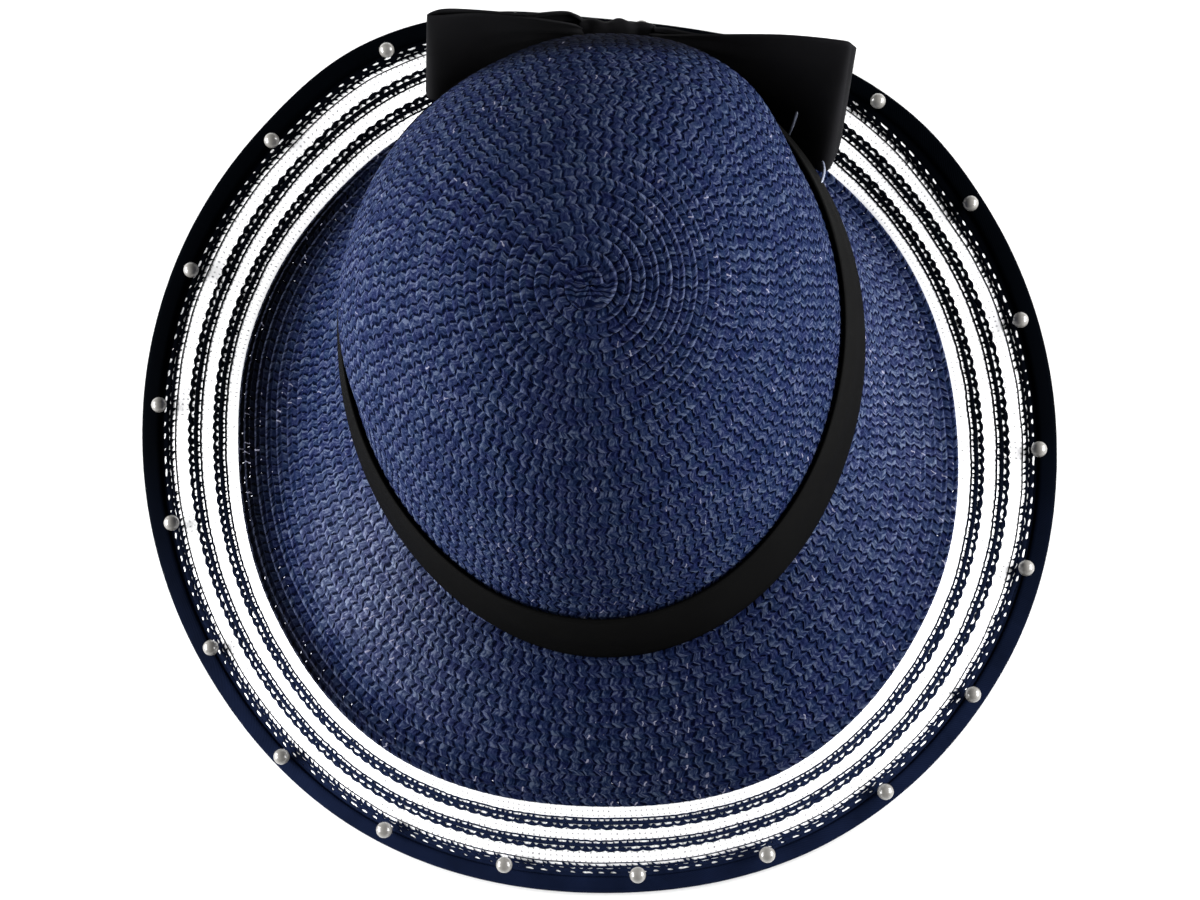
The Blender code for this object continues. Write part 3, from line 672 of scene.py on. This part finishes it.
def crown_point(turn, level, grow=0.0):
    """Points on the crown: an egg-shaped oval that shrinks with height by crown_share.

    Over the band it hangs out by its sag.
    """
    share = crown_share(level)
    grow_out = grow + sag(turn, level)
    x = (CROWN_HALF_WIDTH + grow_out) * share * np.cos(turn) * (1 + CROWN_EGG * np.sin(turn))
    y = (CROWN_HALF_LENGTH + grow_out) * share * np.sin(turn)
    cos, sin = math.cos(CROWN_TURN), math.sin(CROWN_TURN)
    return np.stack([CROWN_CENTRE[0] + CROWN_LEAN[0] * level + x * cos - y * sin,
                     CROWN_CENTRE[1] + CROWN_LEAN[1] * level + x * sin + y * cos,
                     BASE_HEIGHT + level * (CROWN_HEIGHT + grow) + 0 * x], -1)


def crown_arc():
    """Tables of the way down the crown's side: share of it, level and ring radius."""
    level = np.sin(np.linspace(math.pi / 2, 0, 1500)) ** (2 / SHOULDER_POWER)
    radius = crown_share(level) * math.sqrt(CROWN_HALF_WIDTH * CROWN_HALF_LENGTH)
    way = walked_length(np.hypot(np.diff(radius), np.diff(level * CROWN_HEIGHT)))
    return way / way[-1], level, radius


def openwork(azimuth, from_edge, offset):
    """Points on the openwork, a distance in from the outline and an offset over the net."""
    radius = RIM_RADIUS * around(RIM, azimuth) - BINDING_HALF
    fall = np.radians(around(FALL, azimuth))
    inward = from_edge * around(OPENWORK, azimuth) - BINDING_HALF
    r = radius - inward * np.cos(fall) + offset * np.sin(fall)
    z = BINDING_HALF + inward * np.sin(fall) + offset * np.cos(fall)
    return np.stack([r * np.cos(azimuth), r * np.sin(azimuth), z], -1)


def brim_lines(azimuth, steps=40):
    """Radius, height and distance from the straw's outer edge, along the brim's middle line.

    azimuth is a column. Each line is a cubic from the crown's foot to the openwork, and its
    slopes are those of the BRIM table.
    """
    foot = crown_point(np.linspace(0, TAU, 1441), 0.0)
    foot_azimuth = np.unwrap(np.arctan2(foot[:, 1], foot[:, 0]))
    foot_radius = np.hypot(foot[:, 0], foot[:, 1])
    low = foot_azimuth[0]
    radius = np.interp((azimuth - low) % TAU + low, foot_azimuth, foot_radius)
    root_height = BASE_HEIGHT - GAP - HALF_WALL
    end = openwork(azimuth, OPENWORK_WIDTH + GAP, 0.0)
    end_radius, end_height = np.hypot(end[..., 0], end[..., 1]), end[..., 2]
    chord = np.hypot(end_radius - radius, end_height - root_height)
    start = np.radians(around(START, azimuth))
    fall = np.radians(around(FALL, azimuth))
    t = np.linspace(1, 0, steps)[None, :]
    r = cubic(t, radius, chord * np.cos(start), end_radius, chord * np.cos(fall))
    z = cubic(t, root_height, -chord * np.sin(start), end_height, -chord * np.sin(fall))
    # at the left the rows are worked wider where the brim slopes, even as seen from above
    drop = 1 - np.clip(-1.3 * np.cos(azimuth), 0, 1)
    way = np.cumsum(np.hypot(np.diff(r, axis=1), drop * np.diff(z, axis=1)), axis=1)
    return r, z, np.concatenate([np.zeros_like(azimuth), way], axis=1)


# The braid

def walk_spiral(turns, radius):
    """Even steps along a spiral, from its radius at numbers of turns: the way and the turns."""
    ring = TAU * radius
    length = walked_length((ring[1:] + ring[:-1]) / 2 * np.diff(turns))
    walked = np.linspace(0, length[-1], int(length[-1] / STEP))[:, None]
    return walked, np.interp(walked, length, turns)


def sheet_normal(base):
    """The sheet's unit normals, by the differences along and across the grid."""
    normal = np.cross(np.gradient(base, axis=1), np.gradient(base, axis=0))
    return normal / (np.linalg.norm(normal, axis=2)[:, :, None] + 1e-12)


def braid_relief(stitch, lap):
    """Height of the plait, 0 to 1: the row's profile times a dip at each slanting gap."""
    slant = (INNER_SLANT * np.clip(ACROSS / BEND, 0, 1)
             + OUTER_SLANT * np.clip((ACROSS - BEND) / (1 - BEND), 0, 1))
    phase = (stitch - slant) % 1
    places, heights = zip(*ROW_PROFILE)
    depth = FLAT_RELIEF + (1 - FLAT_RELIEF) * lap
    profile = 1 - depth * (1 - np.interp(ACROSS, places, heights))
    return profile * (0.5 + 0.5 * np.sin(math.pi * phase) ** 0.7)


def raise_braid(base, stitch, lap, lift=0.0):
    """Move each point out along the sheet's normal by the plait's relief and the row's lap.

    One more column of points turns the row's outer edge down under the next row's inner edge.
    """
    normal = sheet_normal(base)
    step = (CLOSE_LAP + STANDING_LAP * lap) * (ACROSS ** 2 - 0.5)
    height = RELIEF * (braid_relief(stitch, lap) - 0.5) + step + lift
    under = base[:, -1:] - TURNED_DOWN * normal[:, -1:]
    return np.concatenate([base + normal * height[:, :, None], under], axis=1)


def one_more(table):
    """The table with its last column twice, for the row edge that is turned down."""
    return np.pad(table, ((0, 0), (0, 1)), "edge")


def braid_piece(name, node, points, stitch, material, keep=None, **marks):
    """A run of braid. Its tables lack the column for the row edge that is turned down."""
    marks = {key: one_more(table + 0 * stitch) for key, table in marks.items()}
    uv = one_more(stitch), one_more(ACROSS + 0 * stitch)
    piece = surface(name, points, uv, material, "braid", marks, keep=keep, flip=True)
    dress(piece, "straw_braid", node)


def build_crown(material):
    """One braid laid in a spiral from the tip down, each row lapping over the next one out.

    Ring lines run from the spiral's centre to the foot in equal steps: a point's place in the
    unit disc is centre times (1 - s) plus s times the unit circle, and its distance from the
    disc's middle is its share of the way down the crown's side.
    """
    way, level, radius = crown_arc()
    turns = np.linspace(0, CROWN_ROWS, SPIRAL_SAMPLES)
    walked, tau = walk_spiral(turns, np.interp((turns + 0.5) / CROWN_ROWS, way, radius))
    # the first turn fills the middle, and the next ones start on the row before
    start = tau * np.clip((tau - 0.8) / 0.5, 0, 1)
    s = np.clip((start + ACROSS * (tau + 1.05 - start)) / CROWN_ROWS, 0, 1)
    angle = TAU * tau
    # the rows are round near the middle, and take the crown's oval further down
    x = SPIRAL_CENTRE[0] * (1 - s) + s * np.cos(angle) * (1 + 0.14 * (1 - s))
    y = SPIRAL_CENTRE[1] * (1 - s) + s * np.sin(angle) * (1 - 0.04 * (1 - s))
    share = np.clip(np.hypot(x, y), 0, 1)
    base = crown_point(np.arctan2(y, x), np.interp(share, way, level), -BELOW_SOLID)
    stitch = walked / CROWN_STITCH + 0 * ACROSS
    # row edges stand up to the right of the spiral's middle, and lie close elsewhere
    near = np.hypot(x - SPIRAL_CENTRE[0], y - SPIRAL_CENTRE[1])
    right = np.clip(1.6 * (x - SPIRAL_CENTRE[0]) / (near + 1e-6), 0.12, 1)
    lap = right * (1 - ease((near - 0.2) / 0.2)) + 0.05
    points = raise_braid(base, stitch, lap)
    # the few stitches at the start are drawn into a small uneven knot
    knot = one_more(np.exp(-((tau + ACROSS) / 1.5) ** 2) * 0.0008)
    points[:, :, 2] += knot * np.sin(1400 * points[:, :, 0]) * np.sin(1700 * points[:, :, 1] + 1)
    wrinkled = 1 - ease((tau - 1.0) / 0.15) + 0 * ACROSS
    # painted shade darkens the straw where it faces back behind the bow, and painted light
    # makes the left side lighter and the front a little darker
    facing = np.abs(sheet_normal(base)[:, :, 1]) * (y > 0)
    painted_light_wash = 1 + 0.3 * np.clip(-1.6 * x - 0.3, 0, 1) - 0.12 * np.clip(-1.6 * y - 0.2, 0, 1)
    tone = painted_light_wash * (1 - 0.8 * ease((facing - 0.66) / 0.16))
    half = int(np.searchsorted(tau[:, 0], 0.56 * CROWN_ROWS))
    for name, part in (("crown_top_braid", slice(0, half + 1)),
                       ("crown_side_braid", slice(half, None))):
        braid_piece(name, "crown", points[part], stitch[part], material,
                    lap=lap[part], tone=tone[part], pin=0, knot=wrinkled[part])


def build_brim(material):
    """The same braid in a spiral from the brim's outer edge in to the foot of the crown."""
    turns = np.linspace(0, BRIM_ROWS, SPIRAL_SAMPLES)
    walked, tau = walk_spiral(turns, BRIM_SPIRAL_RADIUS - turns * BRIM_SPIRAL_LOSS)
    azimuth = TAU * tau
    r, z, way = brim_lines(azimuth)
    # the first turn keeps to the edge, and the second moves in from under it
    rho = np.maximum(tau - 1, 0) + (1 - ACROSS) * 1.04
    tuck = 0.0002 * np.clip(2 - tau, 0, 1) * (tau > 1)
    whole = way[:, -1:]
    inside = rho * BRIM_ROW < whole
    distance = np.minimum(rho * BRIM_ROW, whole)
    cell = np.clip((way[:, None, :] <= distance[:, :, None]).sum(-1) - 1, 0, way.shape[1] - 2)
    near, far = [np.stack([np.take_along_axis(table, cell + k, axis=1) for table in (way, r, z)])
                 for k in (0, 1)]
    t = (distance - near[0]) / np.maximum(far[0] - near[0], 1e-9)
    _, radius, height = near * (1 - t) + far * t
    base = np.stack([radius * np.cos(azimuth), radius * np.sin(azimuth), height + ABOVE_SOLID], -1)
    stitch = walked / BRIM_STITCH + 0 * ACROSS
    # the outermost rows' edges stand up more and painted shade darkens them, most at the left
    left = np.clip(-1.5 * np.cos(azimuth) - 0.1, 0, 1)
    right = np.clip(1.5 * np.cos(azimuth) - 0.3, 0, 1)
    lap = (0.05 + 0.9 * left * (1 - ease((rho - 1.6) / 5.2))
           + 0.4 * right * (1 - ease((rho - 1.0) / 3.0)))
    reach = 5.0 + 4.0 * bell(np.degrees(azimuth) % 360, 168, 30)
    # painted shade over the outermost rows
    dark = (0.97 * left * (1 - ease((rho - 0.2) / reach))
            + 0.3 * right * (1 - ease((rho - 0.6) / 1.6)))
    points = raise_braid(base, stitch, lap, -tuck)
    keep = one_more(inside[:-1, :-1] & inside[1:, :-1] | inside[:-1, 1:] & inside[1:, 1:])
    braid_piece("brim_braid", "brim", points, stitch, material, keep,
                lap=lap, tone=around(1, azimuth, PAINTED_BRIM_LIGHT) * (1 - dark),
                pin=(0.05 + 0.13 * left) * (rho < 2), knot=0)


# Net, binding and lace

def ring_sheet(name, outline, material, slot, node, puckers=0.0):
    """A closed band round the openwork, with an outline of distances in and offsets.

    The upper side is drawn in here and there by the puckers.
    """
    azimuth = np.linspace(0, TAU, SHEET_STEPS, endpoint=False)[:, None]
    from_edge, offset = outline[None, :, 0], outline[None, :, 1]
    drawn_in = puckers * wobble(azimuth, 5, 90, 220) * (offset > UPPER_SIDE)
    points = openwork(azimuth, from_edge, offset - np.abs(drawn_in))
    along = np.linspace(0, TAU * MIDDLE_RADIUS * MILLIMETRES, SHEET_STEPS + 1)[:, None]
    across = np.append(from_edge, from_edge[:, :1], axis=1) * MILLIMETRES
    piece = surface(name, points, (along, across), material, ring=True, tube=True, flip=True,
                    marks={"front": front_share(azimuth)})
    return dress(piece, slot, node)


def net_outline():
    """A thin closed cloth, 0.5 mm, from under the straw to inside the binding."""
    stops = np.linspace(OPENWORK_WIDTH + 0.0012, 0.0025, 14)
    rise = 0.00025 - 0.0003 * (stops > OPENWORK_WIDTH - 0.0008)
    return np.concatenate([np.stack([stops, rise], -1), [(0.0022, 0.0)],
                           np.stack([stops, 0 * stops - 0.0003], -1)[::-1],
                           [(OPENWORK_WIDTH + 0.0014, -0.0002)]])


def binding_outline():
    """Tape folded round the edge: rounded nose, flat legs and a soft inner edge."""
    angle = np.linspace(math.pi / 2, -math.pi / 2, 9)
    nose = np.stack([BINDING_HALF - BINDING_HALF * np.cos(angle), BINDING_HALF * np.sin(angle)], -1)
    inner = BINDING_WIDTH
    return np.concatenate([
        [(inner, 0.0009), (inner - 0.0004, 0.0015), (inner - 0.0015, 0.00175),
         (inner - 0.0033, 0.0018)], nose,
        [(inner - 0.0033, -0.0018), (inner - 0.0010, -0.0017), (inner, -0.0012),
         (inner, -0.0009), (0.0030, -0.0009), (0.0030, 0.0009)]])


def lace_strip(name, outer, width, seed, pull, material):
    """Crochet lace in three ribbons of thread, each with an inner and an outer path.

    A fine cord runs along the inner side. Thin bars tie it to the second ribbon, and broad
    bars tie that to the third, whose outer edge is a row of scallops. Paths are distances
    from the strip's inner edge in millimetres, plus bars and slow random sways. The edge
    strip has one ribbon more, which runs out under the binding. At the right the net has been
    pulled in under the lace, by up to pull millimetres.
    """
    into_binding = name == "lace_edge"
    azimuth = np.linspace(0, TAU, LACE_STEPS, endpoint=False)[:, None]
    sway = 0.10 * wobble(azimuth, seed, 9, 60)
    scallop = np.abs(np.sin(azimuth * SCALLOP_TURN + 0.5 * wobble(azimuth, seed + 1, 9, 40)))
    thin = bumps(azimuth, THIN_BARS, seed + 2, 0.12, 0.50, 0.14)
    broad = bumps(azimuth, BROAD_BARS, seed + 3, 0.30, 0.90, 0.2)
    ripple = 0.1 * wobble(azimuth, seed + 4, 150, 420)
    shift = pull * bell(np.degrees(azimuth), 36, 17)
    ribbons = [(0.05 + sway + 0.8 * ripple, 0.70 + sway + 0.6 * ripple, 0.8),
               (1.42 - 0.95 * thin + sway, 3.0 + ripple + 0.5 * sway, 1.0),
               (3.85 - 1.0 * broad + ripple, 4.45 + 0.7 * scallop, 1.1)]
    if into_binding:
        drops = bumps(azimuth, DROPS, seed + 5, 0.42, 0.88, 0.16)
        ribbons = [(0.30 + sway, 0.72 + sway, 0.8),
                   (1.75 - 1.1 * thin + sway, 2.65 + ripple, 1.0),
                   (2.95 - 0.5 * broad + ripple, 4.05 + 0.9 * drops, 1.1),
                   (4.75 - 0.3 * drops + 0.5 * ripple, 7.2 + shift, 0.9)]
    # a ribbon's section: shares of its width, and of its height over the net
    share = np.array([[0.0, 0.12, 0.5, 0.88, 1.0, 0.5]])
    rise = np.array([[0.1, 0.85, 1.0, 0.85, 0.1, 0.0]])
    threads = []
    for inner_path, outer_path, thick in ribbons:
        place = inner_path + (outer_path - inner_path) * share - shift
        slant = 0.004 * (place - 3.5) * into_binding
        threads.append(openwork(azimuth + slant, outer + width - 0.001 * place,
                                GAP + 0.00028 * thick * rise))
    build_threads(name, np.stack(threads), material)


def build_threads(name, stacked, material):
    """All threads of one strip in one piece, each a closed tube round the hat."""
    threads, rows, columns = stacked.shape[:3]
    k = np.arange(columns)[None, :]
    row = np.arange(rows)[:, None] * columns
    next_row = np.roll(row, -1)
    quads = np.stack([row + k, row + (k + 1) % columns, next_row + (k + 1) % columns,
                      next_row + k], -1)
    quads = quads[None] + (np.arange(threads) * rows * columns)[:, None, None, None]
    piece = quad_piece(name + "_threads", stacked.reshape(-1, 3), quads.reshape(-1, 4), material)
    mark(piece, "front", front_share(np.arctan2(stacked[..., 1], stacked[..., 0])))
    dress(piece, "navy_lace", name)


def build_pearls(material):
    """Each bead is a sphere by latitude and longitude, where its solid lies."""
    polar = np.linspace(0.001, math.pi - 0.001, 17)[None, :]
    turn = np.linspace(0, TAU, 28, endpoint=False)[:, None]
    unit = np.stack(np.broadcast_arrays(np.sin(polar) * np.cos(turn),
                                        np.sin(polar) * np.sin(turn), np.cos(polar)), -1)
    uv = np.linspace(0, 1, 29)[:, None], polar
    for name in sorted(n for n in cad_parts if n.startswith("pearl_")):
        low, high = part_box(name)
        radius = BEAD_SHARE * (high.z - low.z) / 2
        piece = surface(name + "_bead", np.array((low + high) / 2) + unit * radius, uv, material,
                        "bead", ring=True, flip=True)
        dress(piece, "pearl", name)


# Band and bow

def build_band(material):
    """Ribbon round the crown's foot, with soft level folds and rounded edges.

    A point is the crown's at a turn and a height, moved out by the ribbon's thickness and by
    folds, a sine of the height whose phase sways round the hat.
    """
    count = 720
    turn = np.linspace(0, TAU, count, endpoint=False)[:, None]
    up = np.concatenate([[0.0], np.linspace(0.0, BAND_HEIGHT, 14), [BAND_HEIGHT],
                         np.linspace(BAND_HEIGHT, 0.0, 4)])[None, :]
    out = np.concatenate([[0.0007], np.full(14, 0.0011), [0.0007], np.full(4, GAP)])[None, :]
    folds = 0.00022 * np.sin(up / BAND_HEIGHT * TAU * 2.2 + 0.8 * wobble(turn, 31, 2, 7))
    folds = folds * (out > 0.001) * (0.5 + 0.5 * wobble(turn, 32, 2, 9))
    sway = 0.0002 * wobble(turn, 33, 3, 14)
    level = np.clip(up + sway * np.sin(up / BAND_HEIGHT * math.pi + 0.6), 0, 1) / CROWN_HEIGHT
    points = crown_point(turn, level)
    normal = crown_point(turn, level, 0.001) - points
    normal /= np.linalg.norm(normal, axis=2)[:, :, None]
    points = points + normal * (out + folds + 0.0002)[:, :, None]
    along = np.linspace(0, BAND_LENGTH * MILLIMETRES, count + 1)[:, None]
    across = np.append(up, up[:, :1], axis=1) * MILLIMETRES
    piece = surface("hat_band_ribbon", points, (along, across), material, ring=True, tube=True)
    dress(piece, "black_ribbon", "hat_band")


def knot_frame():
    """Middle of the knot and the bow's directions along, out and up."""
    low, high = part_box("bow_knot")
    along = np.array([math.cos(BOW_TURN), math.sin(BOW_TURN), 0.0])
    out = np.array([-along[1], along[0], 0.0])
    return np.array((low + high) / 2), along, out, np.array([0.0, 0.0, 1.0])


def build_knot(material):
    """Gathered ribbon round the middle of the bow: an oval sleeve with creases round it.

    Its section is an ellipse, turn runs round it and x along the bow from -1 to 1. The waist
    scales both half axes, and the creases, sines of x, are added to them.
    """
    middle, along, out, up = knot_frame()
    turn = np.linspace(0, TAU, 72, endpoint=False)[:, None]
    x = np.linspace(-1, 1, 33)[None, :]
    waist = 1.02 - 0.10 * x ** 4 + 0.06 * np.sin(5 * x + 0.6)
    creases = 0.0006 * np.sin(x * 9 + 1.3 * np.sin(turn * 2 + 0.5)) * (1 - x ** 4)
    depth = (KNOT_DEPTH / 2 - 0.0002) * waist + creases
    rise = (KNOT_HEIGHT / 2 - 0.0002) * waist + creases
    points = (middle + along * (x * KNOT_SPREAD / 2)[:, :, None]
              + out * (depth * np.cos(turn))[:, :, None] + up * (rise * np.sin(turn))[:, :, None])
    uv = np.linspace(0, KNOT_GIRTH * MILLIMETRES, 73)[:, None], x * KNOT_LENGTH / 2 * MILLIMETRES
    piece = surface("bow_knot_ribbon", points, uv, material, ring=True)
    thicken(piece, 0.0007, -1)
    dress(piece, "black_ribbon", "bow_knot")


def build_loop(name, folds, reach, side, material, seed):
    """One loop: crosswise lines through its folds, with pleats that run out from the knot."""
    middle, along, out, up = knot_frame()
    foot = middle - up * KNOT_HEIGHT / 2
    mouth = KNOT_LENGTH / 2
    # the ends lie flat inside the knot's wall, front and back
    depth = KNOT_DEPTH / 2 * 0.92 - 0.0012
    half = 0.6 * (KNOT_HEIGHT / 2 * 0.92 - 0.0012)
    seat = depth * 0.8 - 0.0009
    roots = np.array([(x, x, seat, seat, KNOT_HEIGHT / 2 - half, KNOT_HEIGHT / 2 + half)
                      for x in (0.06 * KNOT_LENGTH, 0.5 * KNOT_LENGTH)])
    folds = np.array(folds)
    folds = np.hstack([mouth + folds[:, :2] * (reach - mouth), folds[:, 2:] * RIBBON_WIDTH])
    rows = smooth_rows(np.vstack([roots, folds, roots[::-1] * (1, 1, -1, -1, 1, 1)]), 12)
    k = np.linspace(0, 1, 25)[None, :]
    ahead, outward, upward = [rows[:, n:n + 1] * (1 - k) + rows[:, n + 1:n + 2] * k
                              for n in (0, 2, 4)]
    grid = (foot + along * side * ahead[:, :, None] + out * outward[:, :, None]
            + up * upward[:, :, None])
    normal = np.cross(np.gradient(grid, axis=0), np.gradient(grid, axis=1))
    normal /= np.linalg.norm(normal, axis=2)[:, :, None]
    share = ahead / reach
    rng = np.random.default_rng(seed)
    pleats = sum(rng.uniform(0.5, 1) * np.sin(TAU * k * n + rng.uniform(0, TAU))
                 for n in (2, 3, 4))
    pleats = 0.0005 * pleats * np.clip(1.1 - share / 0.7, 0, 1) * np.clip(share / 0.14, 0, 1)
    hollow = 0.0006 * np.sin(math.pi * k) * np.sin(math.pi * np.clip(share, 0, 1))
    grid = grid + normal * (pleats - side * hollow)[:, :, None]
    steps = np.linalg.norm(np.diff(grid.mean(1), axis=0), axis=1)
    length = walked_length(steps)
    uv = length[:, None] * MILLIMETRES, k * RIBBON_WIDTH * MILLIMETRES
    piece = surface(name + "_ribbon", grid, uv, material, flip=side > 0)
    thicken(piece, 0.0006, 0)
    dress(piece, "black_ribbon", name)


def build_tacking(material):
    """Two stitches of clear thread that hold the bow's right end, each sewn in at both ends.

    A point of the path lies at share t of the way plus bulge times sin(pi t), and the thread's
    radius shrinks to nothing at the ends.
    """
    t = np.linspace(0, 1, 21)[:, None]
    turn = np.linspace(0, TAU, 10, endpoint=False)[None, :]
    radius = TACKING_RADIUS * np.clip(6 * np.sin(math.pi * t), 0.002, 1)
    uv = t * 15, np.linspace(0, 3, 11)[None, :]
    for name, start, end, bulge in TACKING:
        start, end, bulge = np.array(start), np.array(end), np.array(bulge)
        path = start * (1 - t) + end * t + bulge * np.sin(math.pi * t)
        ahead = (end - start) / np.linalg.norm(end - start)
        side = np.cross(ahead, bulge)
        side /= np.linalg.norm(side)
        out = np.cross(side, ahead)
        points = (path[:, None] + side * (radius * np.cos(turn))[:, :, None]
                  + out * (radius * np.sin(turn))[:, :, None])
        dress(surface(name, points, uv, material, tube=True), "white_net")


def main():
    set_camera()
    build_stage()
    build_light()
    straw = paper_straw()
    build_crown(straw)
    build_brim(straw)
    net = ring_sheet("net_cloth", net_outline(), net_cloth(), "white_net", "mesh_inset")
    thread = cotton_lace()
    for strip in LACE:
        lace_strip(*strip, thread)
    ring_sheet("edge_binding_tape", binding_outline(), twill_tape(), "navy_binding",
               "edge_binding", PUCKERS)
    build_pearls(nacre())
    build_band(woven_ribbon("black_crepe_band", "#030303", "#070707"))
    # the bow's copy of the ribbon is painted lighter than the band's, for the light its upright
    # faces lack
    ribbon = woven_ribbon("black_crepe_bow_painted_lighter", "#0d0d0e", "#18181a")
    build_knot(ribbon)
    build_loop("bow_loop_left", LEFT_LOOP, LEFT_REACH, -1, ribbon, 41)
    build_loop("bow_loop_right", RIGHT_LOOP, RIGHT_REACH, 1, ribbon, 42)
    build_tacking(clear_thread())


main()
